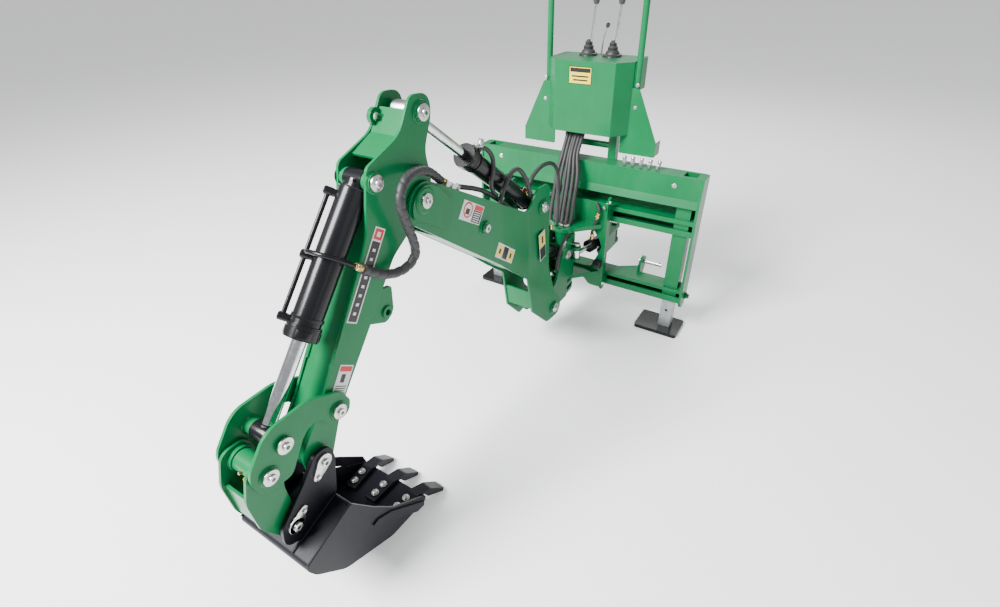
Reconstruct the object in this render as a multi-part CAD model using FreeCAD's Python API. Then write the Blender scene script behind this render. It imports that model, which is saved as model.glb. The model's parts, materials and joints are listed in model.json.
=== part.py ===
# Backhoe attachment for a tractor's three-point hitch, with side-shift, hydraulic swing and drop legs.
# Frame: X to the machine's right, Y towards the tractor, Z up, millimetres.
# The origin is the centre of the top-link pin. Points below are measured from the ground
# (z = 0) and from the rear ridge of the top beam (y = 0), and the last section moves them.
import FreeCAD
import Part
import math
import os

V = FreeCAD.Vector
os.makedirs("parts", exist_ok=True)

# Driving dimensions of the hitch frame
frame_half = 600.0
frame_depth = 92.0
beam_top = 847.0
sheet = 8.0
end_plate = 12.0
face_bottom = 742.0
drip_bottom = 706.0
drip_out = 14.0
rail_top = 640.0
rail_bottom = 560.0
rail_mouth_top = 618.0
rail_mouth_bottom = 588.0
sill_top = 265.0
sill_bottom = 190.0
sill_mouth_top = 246.0
sill_mouth_bottom = 222.0
frame_foot = 160.0

# Driving dimensions of the hitch, category 1
lower_pin_height = 300.0
hitch_y = 150.0
mast_height = 460.0
lower_pin_span = 683.0
lower_pin_d = 22.0
lower_pin_length = 96.0
top_pin_d = 19.0
top_z = lower_pin_height + mast_height
clevis_inner = 52.0
clevis_plate = 12.0

# Driving dimensions of the legs
leg_inset = 70.0
leg_x = frame_half - leg_inset
leg_y = 47.0
leg_side = 60.0
leg_wall = 5.0
leg_hole_d = 14.0
leg_hole_first = 120.0
leg_hole_step = 105.0
leg_hole_count = 6
leg_top = 800.0
guide_wall = 5.0
clamp_z = 215.0
guide_clear = 0.3
pad_long = 163.0
pad_wide = 227.0
pad_thick = 20.0
pad_shift = 30.0

# Driving dimensions of the side-shift carriage
carriage_half = 186.0
carriage_rear = -50.0
carriage_plate = 12.0
carriage_top = 700.0
carriage_bottom = 178.0
cheek_depth = 46.0
tongue_end = 26.0
slide_gap = 0.3

# Swing axis and swing post
swing_y = -150.0
upper_lug_z = 545.0
lower_lug_z = 275.0
lug_thick = 22.0
lug_round = 55.0
lug_gap = 4.0
swing_pin_d = 38.0
post_plate_in = 47.0
post_plate_thick = 12.0
foot_boss_r = 44.0

# Pins of the digging arm, as (y, z) in its own plane, machine centred and parked
foot = (-420.0, 245.0)
boom_base = (-230.0, 440.0)
dipper_base = (-535.0, 815.0)
boom_eye = (-955.0, 888.0)
elbow = (-1262.0, 1103.0)
dipper_top = (-1218.0, 1341.0)
bucket_base = (-1428.0, 1207.0)
rocker_pivot = (-1716.0, 637.0)
rod_eye = (-1893.0, 668.0)
link_top = (-1954.0, 609.0)
bucket_pivot = (-1806.0, 518.0)
link_foot = (-1940.0, 390.0)
tooth_tip = (-1413.0, 0.0)

# Half widths and plates of the arm
boom_in = 60.0
boom_plate = 9.0
dipper_in = 47.0
dipper_plate = 9.0
rocker_in = 62.0
rocker_plate = 10.0
link_in = 48.0
link_plate = 10.0
link_foot_r = 28.0
ear_in = 66.0
ear_plate = 12.0
bucket_half = 150.0
foot_in = 80.0
pin_d = 30.0
pin_fit = 0.3
side_gap = 2.0
washer_d = 46.0
washer_t = 6.0
bolt_d = 20.0
bolt_t = 8.0
boss_r = 29.0
boss_t = 8.0
small_boss_r = 24.0
blind_in = 32.0
weld_lap = 2.0

# Operator's tower, its stand, hoop and levers
tower_front = -30.0
tower_bend = 148.0
tower_side = 208.0
tower_wing = 41.0
tower_back = 205.0
tower_bottom = 985.0
tower_top = 1300.0
tower_sheet = 4.0
wing_out = 346.0
wing_bottom = 898.0
wing_step = 962.0
wing_top = 1192.0
lever_x = 60.0
lever_y = 139.0
stand_x = 118.0
stand_side = 40.0
wing_in = 172.0
seam_in = 9.0
lid_lip = 40.0
lever_low = 1232.0
lever_high = 1508.0
lever_lean = 24.0
lever_r = 6.0
boot_height = 66.0
boot_folds = 3
hoop_r = 14.0
hoop_top = 1650.0
hoop_corner = 85.0
hoop_foot = 1175.0
hoop_wall = 3.0
bar_z = 905.0
valve_half = 108.0
valve_low = 1130.0
valve_high = 1205.0
valve_deep = 62.0
spool_pitch = 36.0
spool_count = 6

# Hydraulic cylinders; the swing cylinders lie level at swing_z
ram_wall = 6.0
ram_end = 8.0
rod_fit = 0.3
piston_fit = 0.6
piston_thick = 14.0
gland_long = 40.0
gland_out = 5.0
tip_less = 4.0
swing_base = (150.0, 150.0)
swing_rod = (84.0, -176.0)
swing_z = 430.0
swing_eye_half = 20.0
swing_barrel_r = 28.0
swing_stem_r = 12.0
swing_barrel_long = 232.0
swing_piston = 104.0
swing_eye_r = 22.0
swing_pin_r = 12.0
bracket_gap = 36.0
bracket_thick = 12.0

# Bends of the boom's plates, its top plate's ends and the ported block on it
bend_y = -636.0
flare_y = -420.0
boom_front = (-1128.0, 1086.0)
boom_back = (-650.0, 820.5)
block_seat = 0.2
block_side = 28.0
block_pitch = 33.0
block_start = 6.0
block_x = 16.0
web = 8.0

# Teeth, fanned out a little
tooth_fan = 7.5
tooth_pitch = 105.0
tooth_half = 22.0
tooth_bolts = (-1570.0, -1612.0)

# Small hardware
clamp_r = 9.0
clamp_nut_r = 17.0
clamp_head_r = 12.0
clamp_nut = 10.0
clamp_head = 12.0
pin_root_r = 14.0
pin_root = 14.0
pin_collar = 10.0
pin_collar_r = 21.0
clip_hole_r = 5.5
clip_inset = 14.0
ring_t = 6.0
ring_r = 26.0
clear_of_all = 140.0


def box(x0, x1, y0, y1, z0, z1):
    return Part.makeBox(x1 - x0, y1 - y0, z1 - z0, V(x0, y0, z0))


def rod(p, r, x0, x1):
    """A round bar along X at the arm point p."""
    return Part.makeCylinder(r, x1 - x0, V(x0, p[0], p[1]), V(1, 0, 0))


def post(x, y, r, z0, z1):
    """A round bar along Z."""
    return Part.makeCylinder(r, z1 - z0, V(x, y, z0), V(0, 0, 1))


def fuse(first, *rest):
    return first.fuse(list(rest)).removeSplitter() if rest else first


def mirror_x(shape):
    return shape.mirror(V(0, 0, 0), V(1, 0, 0))


def outline(points, place):
    """A closed wire; each point is (u, v) or (u, v, corner radius), placed by the given function."""
    count = len(points)
    starts = []
    ends = []
    arcs = []
    for i in range(count):
        corner = points[i]
        before = place(*points[i - 1][:2])
        here = place(*corner[:2])
        after = place(*points[(i + 1) % count][:2])
        radius = corner[2] if len(corner) > 2 else 0.0
        if radius <= 0:
            starts.append(here)
            ends.append(here)
            arcs.append(None)
            continue
        u = (before - here).normalize()
        w = (after - here).normalize()
        half = u.getAngle(w) / 2.0
        reach = radius / math.tan(half)
        centre = here + (u + w).normalize() * (radius / math.sin(half))
        first = here + u * reach
        last = here + w * reach
        middle = centre + (here - centre).normalize() * radius
        starts.append(first)
        ends.append(last)
        arcs.append(Part.Arc(first, middle, last).toShape())
    edges = []
    for i in range(count):
        if arcs[i] is not None:
            edges.append(arcs[i])
        q0 = ends[i]
        q1 = starts[(i + 1) % count]
        if (q1 - q0).Length > 0.01:
            edges.append(Part.LineSegment(q0, q1).toShape())
    return Part.Wire(edges)


def slab(points, x0, x1):
    """A plate between x0 and x1 with the given (y, z) outline."""
    face = Part.Face(outline(points, lambda y, z: V(x0, y, z)))
    return face.extrude(V(x1 - x0, 0, 0))


def flat(points, z0, z1):
    """A level plate between z0 and z1 with the given (x, y) outline."""
    face = Part.Face(outline(points, lambda x, y: V(x, y, z0)))
    return face.extrude(V(0, 0, z1 - z0))


def wall(points, y0, y1):
    """An upright plate between y0 and y1 with the given (x, z) outline."""
    face = Part.Face(outline(points, lambda x, z: V(x, y0, z)))
    return face.extrude(V(0, y1 - y0, 0))


def strip(a, b, thick, half, side=1):
    """A plate across the arm from a to b, half wide each way, thick to one side."""
    dy = b[0] - a[0]
    dz = b[1] - a[1]
    length = math.hypot(dy, dz)
    ny = -dz / length * thick * side
    nz = dy / length * thick * side
    return slab([a, b, (b[0] + ny, b[1] + nz), (a[0] + ny, a[1] + nz)], -half, half)


def span(a, b):
    return math.hypot(b[0] - a[0], b[1] - a[1])


def save(name, shape):
    shape = shape.copy()
    shape.translate(V(0, -hitch_y, -(lower_pin_height + mast_height)))
    shape.exportStep("parts/" + name + ".step")


def through_pin(p, half, radius=pin_d / 2):
    """A pin with a washer and a bolt head on both ends."""
    parts = [rod(p, radius, -half, half)]
    for side in (-1, 1):
        face = side * half
        outer = side * (half + washer_t)
        head = side * (half + washer_t + bolt_t)
        parts.append(rod(p, washer_d / 2, min(face, outer), max(face, outer)))
        parts.append(rod(p, bolt_d / 2, min(outer, head), max(outer, head)))
    return fuse(*parts)


def stub(p, radius, inner, outer):
    """Two short pin ends, one in each cheek, that leave the eye between them free."""
    near = fuse(rod(p, radius, inner, outer), rod(p, washer_d / 2, outer, outer + washer_t))
    near = fuse(near, rod(p, bolt_d / 2, outer + washer_t, outer + washer_t + bolt_t))
    return near, mirror_x(near)


# Hydraulic cylinders, built along +Z from the base eye and then turned into place

def ram(length, barrel_r, rod_r, barrel_length, piston, eye_r, eye_half, tip_half, bore_r):
    """Barrel and rod of a cylinder whose eyes are length apart; piston is the piston's place at rest."""
    start = eye_r + ram_end
    inside = barrel_r - ram_wall
    eye = Part.makeCylinder(eye_r, 2 * eye_half, V(-eye_half, 0, 0), V(1, 0, 0))
    neck = Part.makeCylinder(barrel_r * 0.75, start - ram_wall, V(0, 0, ram_wall))
    tube = Part.makeCylinder(barrel_r, barrel_length - start + ram_wall, V(0, 0, start - ram_wall))
    gland = Part.makeCylinder(barrel_r + gland_out, gland_long, V(0, 0, barrel_length - gland_long))
    outer = fuse(eye, neck, tube, gland)
    hollow = Part.makeCylinder(inside, barrel_length - gland_long - start, V(0, 0, start))
    throat = Part.makeCylinder(rod_r + rod_fit, gland_long + 2, V(0, 0, barrel_length - gland_long - 1))
    bore = Part.makeCylinder(bore_r, 2 * eye_half + 2, V(-eye_half - 1, 0, 0), V(1, 0, 0))
    barrel = outer.cut(hollow).cut(throat).cut(bore)
    tip_r = eye_r - tip_less
    stem = Part.makeCylinder(rod_r, length - tip_r / 2 - piston, V(0, 0, piston))
    head = Part.makeCylinder(inside - piston_fit, piston_thick, V(0, 0, piston))
    far_eye = Part.makeCylinder(tip_r, 2 * tip_half, V(-tip_half, 0, length), V(1, 0, 0))
    return barrel, fuse(stem, head, far_eye)


def aim(shape, start, end, x=0.0):
    """Turns a +Z shape so that it runs from start to end in the arm's plane."""
    angle = math.degrees(math.atan2(-(end[0] - start[0]), end[1] - start[1]))
    turned = shape.copy()
    turned.rotate(V(0, 0, 0), V(1, 0, 0), angle)
    turned.translate(V(x, start[0], start[1]))
    return turned


# Main frame: folded beams, end plates, slide rails, leg guides and hitch lugs

def build_frame():
    inner = frame_half - end_plate
    parts = [
        box(-inner, inner, 0, frame_depth, beam_top - sheet, beam_top),
        slab([(0, beam_top), (0, face_bottom), (-drip_out, drip_bottom), (-drip_out + sheet, drip_bottom),
              (sheet, face_bottom), (sheet, beam_top)], -inner, inner),
        box(-inner, inner, frame_depth - sheet, frame_depth, rail_bottom, beam_top),
    ]
    for top, bottom, mouth_top, mouth_bottom in (
            (rail_top, rail_bottom, rail_mouth_top, rail_mouth_bottom),
            (sill_top, sill_bottom, sill_mouth_top, sill_mouth_bottom)):
        parts.append(box(-inner, inner, 0, frame_depth, top - sheet, top))
        parts.append(box(-inner, inner, 0, frame_depth, bottom, bottom + sheet))
        parts.append(box(-inner, inner, 0, sheet, mouth_top, top))
        parts.append(box(-inner, inner, 0, sheet, bottom, mouth_bottom))
        parts.append(box(-inner, inner, frame_depth - sheet, frame_depth, bottom, top))
    end = [(0, beam_top), (frame_depth, beam_top, 8), (frame_depth, 205, 20), (62, frame_foot, 20),
           (18, frame_foot, 15), (-drip_out, 196, 10), (-drip_out, face_bottom - 20, 40)]
    hole_half = leg_side / 2 + guide_clear
    guide_half = hole_half + guide_wall
    holes = []
    for side in (-1, 1):
        x0 = side * inner
        x1 = side * frame_half
        parts.append(slab(end, min(x0, x1), max(x0, x1)))
        x = side * leg_x
        parts.append(box(x - guide_half, x + guide_half, leg_y - guide_half, leg_y + guide_half,
                         sill_bottom, beam_top))
        holes.append(box(x - hole_half, x + hole_half, leg_y - hole_half, leg_y + hole_half,
                         frame_foot - 10, beam_top + 10))
        # Clamp screw that holds the leg, through a nut on the end plate
        tip = x + side * (hole_half - 1)
        seat = side * (frame_half + clamp_nut)
        head = side * (frame_half + clamp_nut + clamp_head)
        screw = (leg_y + 8, clamp_z)
        parts.append(rod(screw, clamp_r, min(tip, seat), max(tip, seat)))
        parts.append(rod(screw, clamp_nut_r, min(x1, seat), max(x1, seat)))
        parts.append(rod(screw, clamp_head_r, min(seat, head), max(seat, head)))
    # Ears of the top link and brackets of the lower pins
    ear = [(frame_depth - 2, beam_top - 12), (frame_depth - 2, 640), (hitch_y + 5, top_z - 38, 20),
           (hitch_y + 34, top_z, 30), (hitch_y + 5, top_z + 38, 25)]
    arm = [(frame_depth - 4, sill_bottom + 4), (hitch_y, lower_pin_height - 62, 40),
           (hitch_y + 42, lower_pin_height, 34), (hitch_y - 10, lower_pin_height + 44, 34),
           (frame_depth - 4, sill_top + 40)]
    for side in (-1, 1):
        inside = side * clevis_inner / 2
        outside = side * (clevis_inner / 2 + clevis_plate)
        parts.append(slab(ear, min(inside, outside), max(inside, outside)))
        shoulder = side * lower_pin_span / 2
        back = side * (lower_pin_span / 2 - pin_root)
        parts.append(slab(arm, min(shoulder, back), max(shoulder, back)))
        gusset = [(side * 215, frame_depth - 4), (shoulder, frame_depth - 4), (shoulder, hitch_y + 20)]
        parts.append(flat(gusset, sill_top - sheet, sill_top))
    frame = fuse(*parts)
    for hole in holes:
        frame = frame.cut(hole)
    frame = frame.cut(rod((hitch_y, top_z), top_pin_d / 2 + 0.05, -60, 60))
    for side in (-1, 1):
        x0 = side * (lower_pin_span / 2 - 20)
        x1 = side * (lower_pin_span / 2 + 20)
        frame = frame.cut(rod((hitch_y, lower_pin_height), pin_root_r, min(x0, x1), max(x0, x1)))
    return frame


def build_hitch_pin(side):
    """Outward pin with a shoulder, pressed in the bracket, with a cross hole for its clip."""
    x0 = lower_pin_span / 2
    place = (hitch_y, lower_pin_height)
    pin = rod(place, pin_root_r, x0 - pin_root, x0)
    pin = fuse(pin, rod(place, pin_collar_r, x0 - pin_root - pin_collar, x0 - pin_root))
    pin = fuse(pin, rod(place, lower_pin_d / 2, x0, x0 + lower_pin_length))
    pin = pin.cut(post(x0 + lower_pin_length - clip_inset, hitch_y, clip_hole_r,
                       lower_pin_height - lower_pin_d, lower_pin_height + lower_pin_d))
    return pin if side > 0 else mirror_x(pin)


# Operator's tower on the frame

def build_stand():
    parts = []
    for side in (-1, 1):
        x = side * stand_x
        parts.append(box(x - stand_side / 2, x + stand_side / 2, frame_depth, frame_depth + stand_side,
                         beam_top - 110, tower_top - tower_sheet))
        parts.append(box(x - 36, x + 36, frame_depth, frame_depth + 8, beam_top - 130, beam_top - 12))
    parts.append(rod((frame_depth + stand_side / 2, bar_z), 16, -stand_x, stand_x))
    parts.append(box(-stand_x, stand_x, frame_depth + 4, frame_depth + stand_side - 4, 1140, 1164))
    return fuse(*parts)


def build_tower():
    t = tower_sheet
    shell = flat([(-tower_side, tower_wing + t), (-tower_side, tower_wing), (-tower_bend, tower_front),
                  (tower_bend, tower_front), (tower_side, tower_wing), (tower_side, tower_wing + t)],
                 tower_bottom, tower_top)
    slope = (tower_side - tower_bend) / (tower_wing - tower_front)
    cheek = t * math.hypot(1, slope)
    inset = cheek - slope * t
    core = flat([(-tower_side + inset, tower_wing + t + 1), (-tower_bend + inset, tower_front + t),
                 (tower_bend - inset, tower_front + t), (tower_side - inset, tower_wing + t + 1)],
                tower_bottom - 1, tower_top - t)
    shell = shell.cut(core)
    parts = [shell]
    lid = flat([(-tower_side, tower_wing), (tower_side, tower_wing), (tower_side, tower_back),
                (-tower_side, tower_back)], tower_top - t, tower_top)
    parts.append(lid)
    for side in (-1, 1):
        inner = side * (tower_side - seam_in)
        wing = wall([(side * wing_in, wing_bottom, 6), (side * wing_out, wing_bottom, 4),
                     (side * wing_out, wing_step, 6), (side * 240, wing_top, 10), (inner, wing_top),
                     (inner, tower_bottom), (side * wing_in, tower_bottom)],
                    tower_wing, tower_wing + t)
        parts.append(wing)
        x0 = side * (wing_out - t)
        x1 = side * wing_out
        parts.append(box(min(x0, x1), max(x0, x1), tower_wing, tower_wing + 66, wing_bottom + 4, wing_step))
        x0 = side * (tower_side - t)
        x1 = side * tower_side
        parts.append(box(min(x0, x1), max(x0, x1), tower_wing, tower_back, wing_top - 26, tower_top))
    parts.append(box(-tower_side, tower_side, tower_back - t, tower_back, tower_top - lid_lip, tower_top))
    tower = fuse(*parts)
    for side in (-1, 1):
        tower = tower.cut(post(side * lever_x, lever_y, 24, tower_top - 10, tower_top + 10))
    return tower


def build_hoop():
    """Inverted U of round tube, with flat feet against the tower's sides."""
    x = tower_side + hoop_r
    y = tower_wing + tower_sheet + hoop_r + 2
    points = [V(-x, y, hoop_foot), V(-x, y, hoop_top - hoop_corner),
              V(-x + hoop_corner, y, hoop_top), V(x - hoop_corner, y, hoop_top),
              V(x, y, hoop_top - hoop_corner), V(x, y, hoop_foot)]
    half = hoop_corner * (1 - math.sqrt(0.5))
    edges = [
        Part.LineSegment(points[0], points[1]).toShape(),
        Part.Arc(points[1], V(-x + half, y, hoop_top - half), points[2]).toShape(),
        Part.LineSegment(points[2], points[3]).toShape(),
        Part.Arc(points[3], V(x - half, y, hoop_top - half), points[4]).toShape(),
        Part.LineSegment(points[4], points[5]).toShape(),
    ]
    section = Part.Wire(Part.makeCircle(hoop_r, points[0], V(0, 0, 1)))
    bore = Part.Wire(Part.makeCircle(hoop_r - hoop_wall, points[0], V(0, 0, 1)))
    path = Part.Wire(edges)
    tube = path.makePipeShell([section], True, False).cut(path.makePipeShell([bore], True, False))
    parts = [tube]
    for side in (-1, 1):
        x0 = side * tower_side
        x1 = side * (tower_side + 5)
        parts.append(box(min(x0, x1), max(x0, x1), y - 14, y + 14, hoop_foot - 8, tower_top - 6))
    return fuse(*parts)


def build_valve():
    """Stacked control valve under the tower's lid, with spool ends above and ports below."""
    y0 = frame_depth + stand_side
    parts = [box(-valve_half, valve_half, y0, y0 + valve_deep, valve_low, valve_high)]
    for k in range(spool_count):
        x = spool_pitch * (k - (spool_count - 1) / 2)
        parts.append(post(x, y0 + 34, 13, valve_high, valve_high + 21))
        parts.append(post(x, y0 + 34, 15, valve_low - 24, valve_low))
    return fuse(*parts)


def build_lever(side):
    start = V(side * lever_x, lever_y, lever_low)
    end = V(side * lever_x + lever_lean, lever_y, lever_high)
    return Part.makeCylinder(lever_r, (end - start).Length, start, end - start)


def build_knob(side):
    x = side * lever_x + lever_lean
    low = V(x, lever_y, lever_high + 1.5)
    body = Part.makeCone(11, 19, 26, low, V(0, 0, 1))
    crown = Part.makeCone(19, 15, 10, low + V(0, 0, 26), V(0, 0, 1))
    cap = Part.makeCone(15, 6, 6, low + V(0, 0, 36), V(0, 0, 1))
    return fuse(body, crown, cap)


def build_boot(side):
    """Bellows with three folds round the lever."""
    profile = [(8, tower_top), (42, tower_top), (42, tower_top + 9), (33, tower_top + 11)]
    fold = (boot_height - 14) / boot_folds
    for k in range(boot_folds):
        wide = 30 - 6 * k
        z = tower_top + 12 + fold * k
        profile.append((wide, z + fold * 0.45))
        profile.append((wide - 8, z + fold * 0.95))
    profile.append((10, tower_top + boot_height))
    profile.append((8, tower_top + boot_height))
    wire = Part.makePolygon([V(r, 0, z) for r, z in profile] + [V(8, 0, tower_top)])
    boot = Part.Face(wire).revolve(V(0, 0, 0), V(0, 0, 1), 360)
    boot.translate(V(side * lever_x, lever_y, 0))
    return boot.cut(build_lever(side))


# Carriage that slides along the rails

def build_carriage():
    cheek = [(carriage_rear - 12, carriage_top - 24, 12), (-22, carriage_top, 10), (-16, carriage_top - 8),
             (-16, carriage_bottom + 10), (-26, carriage_bottom), (carriage_rear - 2, carriage_bottom, 8)]
    back = [(-carriage_half, carriage_top - 30), (carriage_half, carriage_top - 30),
            (carriage_half, carriage_bottom + 12), (110, carriage_bottom + 12, 30), (70, 232, 40),
            (-70, 232, 40), (-110, carriage_bottom + 12, 30), (-carriage_half, carriage_bottom + 12)]
    y1 = carriage_rear + carriage_plate
    plate = wall(back, carriage_rear, y1)
    window = wall([(-112, 520, 40), (112, 520, 40), (150, 470, 30), (166, 430, 20), (150, 385, 30),
                   (112, 300, 40), (-112, 300, 40), (-150, 385, 30), (-166, 430, 20), (-150, 470, 30)],
                  carriage_rear - 1, y1 + 1)
    parts = [plate.cut(window)]
    for side in (-1, 1):
        x0 = side * carriage_half
        x1 = side * (carriage_half - carriage_plate)
        parts.append(slab(cheek, min(x0, x1), max(x0, x1)))
    # Tongues through the rail mouths, with a head behind each lip
    width = carriage_half
    for mouth_top, mouth_bottom, top, bottom in (
            (rail_mouth_top, rail_mouth_bottom, rail_top, rail_bottom),
            (sill_mouth_top, sill_mouth_bottom, sill_top, sill_bottom)):
        parts.append(box(-width, width, carriage_rear + 4, tongue_end,
                         mouth_bottom + slide_gap, mouth_top - slide_gap))
        parts.append(box(-width, width, sheet + slide_gap, tongue_end, bottom + sheet + slide_gap,
                         top - sheet - slide_gap))
    lug = [(-168, carriage_rear + 6), (-58, swing_y - 8, 50), (-40, swing_y - lug_round, 40),
           (40, swing_y - lug_round, 40), (58, swing_y - 8, 50), (168, carriage_rear + 6)]
    for z in (upper_lug_z, lower_lug_z):
        parts.append(flat(lug, z - lug_thick / 2, z + lug_thick / 2))
    # Brackets that carry the bases of the swing cylinders through the frame's window
    for side in (-1, 1):
        arm = [(side * 182, carriage_rear + 2), (side * 182, 150, 20), (side * 165, 182, 20),
               (side * 130, 182, 20), (side * 116, 150, 20), (side * 128, -20, 10),
               (side * 150, carriage_rear + 2)]
        reach = bracket_gap + bracket_thick
        for z0, z1 in ((swing_z + bracket_gap, swing_z + reach), (swing_z - reach, swing_z - bracket_gap)):
            parts.append(flat(arm, z0, z1))
        parts.append(box(min(side * 170, side * 182), max(side * 170, side * 182), carriage_rear + 2, 100,
                         swing_z - reach, swing_z + reach))
        parts.append(post(side * swing_base[0], swing_base[1], swing_pin_r,
                          swing_z - reach - ring_t, swing_z + reach + ring_t))
    carriage = fuse(*parts)
    for z in (upper_lug_z, lower_lug_z):
        carriage = carriage.cut(post(0, swing_y, swing_pin_d / 2, z - 30, z + 30))
    return carriage


def build_swing_pin():
    pin = post(0, swing_y, swing_pin_d / 2, lower_lug_z - 84, upper_lug_z + 22)
    cap = post(0, swing_y, 30, upper_lug_z + lug_thick / 2, upper_lug_z + lug_thick / 2 + 9)
    return fuse(pin, cap)


def build_swing_post():
    """Hub on the swing pin, cheeks out to the boom foot, knuckles under the lower lug."""
    low = lower_lug_z + lug_thick / 2 + lug_gap
    high = upper_lug_z - lug_thick / 2 - lug_gap
    hub = post(0, swing_y, 50, low, high)
    clear = swing_y - lug_round - 9
    cheek = [(swing_y, high - 2), (clear - 20, high - 2, 25), (-292, 452, 40), (-345, 330, 60),
             (-470, 292, 40), (-474, 196, 44), (-372, 188, 40), (clear, 188, 10), (clear, low),
             (swing_y, low)]
    parts = [hub]
    for side in (-1, 1):
        x0 = side * post_plate_in
        x1 = side * (post_plate_in + post_plate_thick)
        parts.append(slab(cheek, min(x0, x1), max(x0, x1)))
    knuckle = [(-59, clear - 30), (-54, swing_y, 40), (-40, swing_y + 52, 38), (40, swing_y + 52, 38),
               (54, swing_y, 40), (59, clear - 30)]
    top = lower_lug_z - lug_thick / 2 - lug_gap
    for z1 in (top, top - 44):
        parts.append(flat(knuckle, z1 - 20, z1))
    half = flare_at(foot[0] - foot_boss_r) - side_gap
    parts.append(rod(foot, foot_boss_r, -half, half))
    parts.append(strip((-300, 196), (clear, 196), 14, 59))
    # Ears of the swing cylinders' rods
    for side in (-1, 1):
        x, y = swing_rod
        ear = [(side * 50, y - 14), (side * (x + 6), y - 26, 20), (side * (x + 26), y, 20),
               (side * (x + 8), y + 26, 20), (side * 50, y + 36)]
        for way in (-1, 1):
            eye_face = swing_z + way * swing_eye_half
            levels = sorted((eye_face + way * 4, eye_face + way * 18))
            parts.append(flat(ear, *levels))
            levels = sorted((eye_face + way * 2, eye_face + way * 26))
            parts.append(post(side * x, y, swing_pin_r, *levels))
    # Seats of the boom cylinder's pin
    boss = rod(boom_base, 30, 34, post_plate_in + 14)
    parts.append(boss)
    parts.append(mirror_x(boss))
    body = fuse(*parts)
    body = body.cut(post(0, swing_y, swing_pin_d / 2 + pin_fit, 150, 600))
    body = body.cut(rod(foot, pin_d / 2 + pin_fit, -120, 120))
    body = body.cut(rod(boom_base, pin_d / 2, -80, 80))
    return body


def build_swing_ram(side):
    """Barrel and rod of one swing cylinder, level, from the carriage to the post."""
    start = V(side * swing_base[0], swing_base[1], swing_z)
    end = V(side * swing_rod[0], swing_rod[1], swing_z)
    length = (end - start).Length
    barrel, stem = ram(length, swing_barrel_r, swing_stem_r, swing_barrel_long, swing_piston, swing_eye_r,
                       swing_eye_half + 12, swing_eye_half, swing_pin_r + pin_fit)
    direction = end - start
    angle = math.degrees(math.atan2(direction.y, direction.x))
    shapes = []
    for shape in (barrel, stem):
        shape.rotate(V(0, 0, 0), V(0, 1, 0), 90)
        shape.rotate(V(0, 0, 0), V(0, 0, 1), angle)
        shape.translate(start)
        shapes.append(shape)
    return shapes


# Boom: two plates that open out at the foot, closed to a box between the foot and the elbow

def bent_plate(points):
    """Right side plate of the boom, bent outwards ahead of the box."""
    solid = slab(points, 0, 160)
    slope = (foot_in - boom_in) / (flare_y - bend_y)
    front_y = -300.0
    front = boom_in + slope * (front_y - bend_y)
    zone = flat([(boom_in, -1400), (boom_in, bend_y), (front, front_y), (front + boom_plate, front_y),
                 (boom_in + boom_plate, bend_y), (boom_in + boom_plate, -1400)], 100, 1300)
    return solid.common(zone)


def flare_at(y):
    """Inner face of the boom's side plate at y."""
    if y < bend_y:
        return boom_in
    return boom_in + (foot_in - boom_in) * (y - bend_y) / (flare_y - bend_y)


boom_side = [(-1326, 1205, 72), (-642, 825, 40), (-570, 906, 26), (-488, 906, 28), (-482, 700, 150),
             (-476, 500, 90), (-420, 330, 60), (-362, 270, 26), (-362, 188, 46), (-478, 186, 30),
             (-602, 312, 16), (-640, 508, 16), (-768, 610, 30), (-860, 690, 60), (-1326, 1050, 24)]


def build_boom():
    right = bent_plate(boom_side)
    parts = [right, mirror_x(right)]
    parts.append(strip(boom_front, boom_back, sheet, boom_in + weld_lap, side=-1))
    # Belly plates, open between the bend and the foot for the boom cylinder
    for start, end in (((-1195, 950), (-876, 704)), ((-880, 709), (-778, 631)), ((-782, 634), (-722, 585))):
        parts.append(strip(start, end, sheet, boom_in + weld_lap))
    parts.append(strip((-620, 430), (-600, 326), sheet, flare_at(-600) + 1))
    double = [(-1317, 1190, 66), (-1196, 1124, 20), (-1136, 1062, 14), (-1156, 1012, 30), (-1146, 962, 12),
              (-1182, 978, 10), (-1318, 1064, 22)]
    plate = slab(double, boom_in + boom_plate - 0.5, boom_in + boom_plate + 8)
    parts.append(plate)
    parts.append(mirror_x(plate))
    face = boom_in + boom_plate
    near, far = stub(boom_eye, pin_d / 2, blind_in, face + boss_t / 2)
    boss = rod(boom_eye, small_boss_r, blind_in, boom_in + 1)
    ring = rod(boom_eye, small_boss_r, face - 1, face + boss_t / 2)
    seat = rod(dipper_base, boss_r, blind_in, flare_at(dipper_base[0]) + weld_lap)
    parts.extend([near, far])
    for piece in (boss, ring, seat):
        parts.extend([piece, mirror_x(piece)])
    for pin in (foot, dipper_base):
        outside = flare_at(pin[0]) + boom_plate
        ring = rod(pin, boss_r, outside - weld_lap, outside + boss_t)
        parts.extend([ring, mirror_x(ring)])
    ring = rod(elbow, boss_r + 7, face, face + boss_t + 6)
    parts.extend([ring, mirror_x(ring)])
    boom = fuse(*parts)
    boom = boom.cut(rod(foot, pin_d / 2, -clear_of_all, clear_of_all))
    boom = boom.cut(rod(dipper_base, pin_d / 2, -clear_of_all, clear_of_all))
    boom = boom.cut(rod(elbow, pin_d / 2, -clear_of_all, clear_of_all))
    return boom


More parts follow.
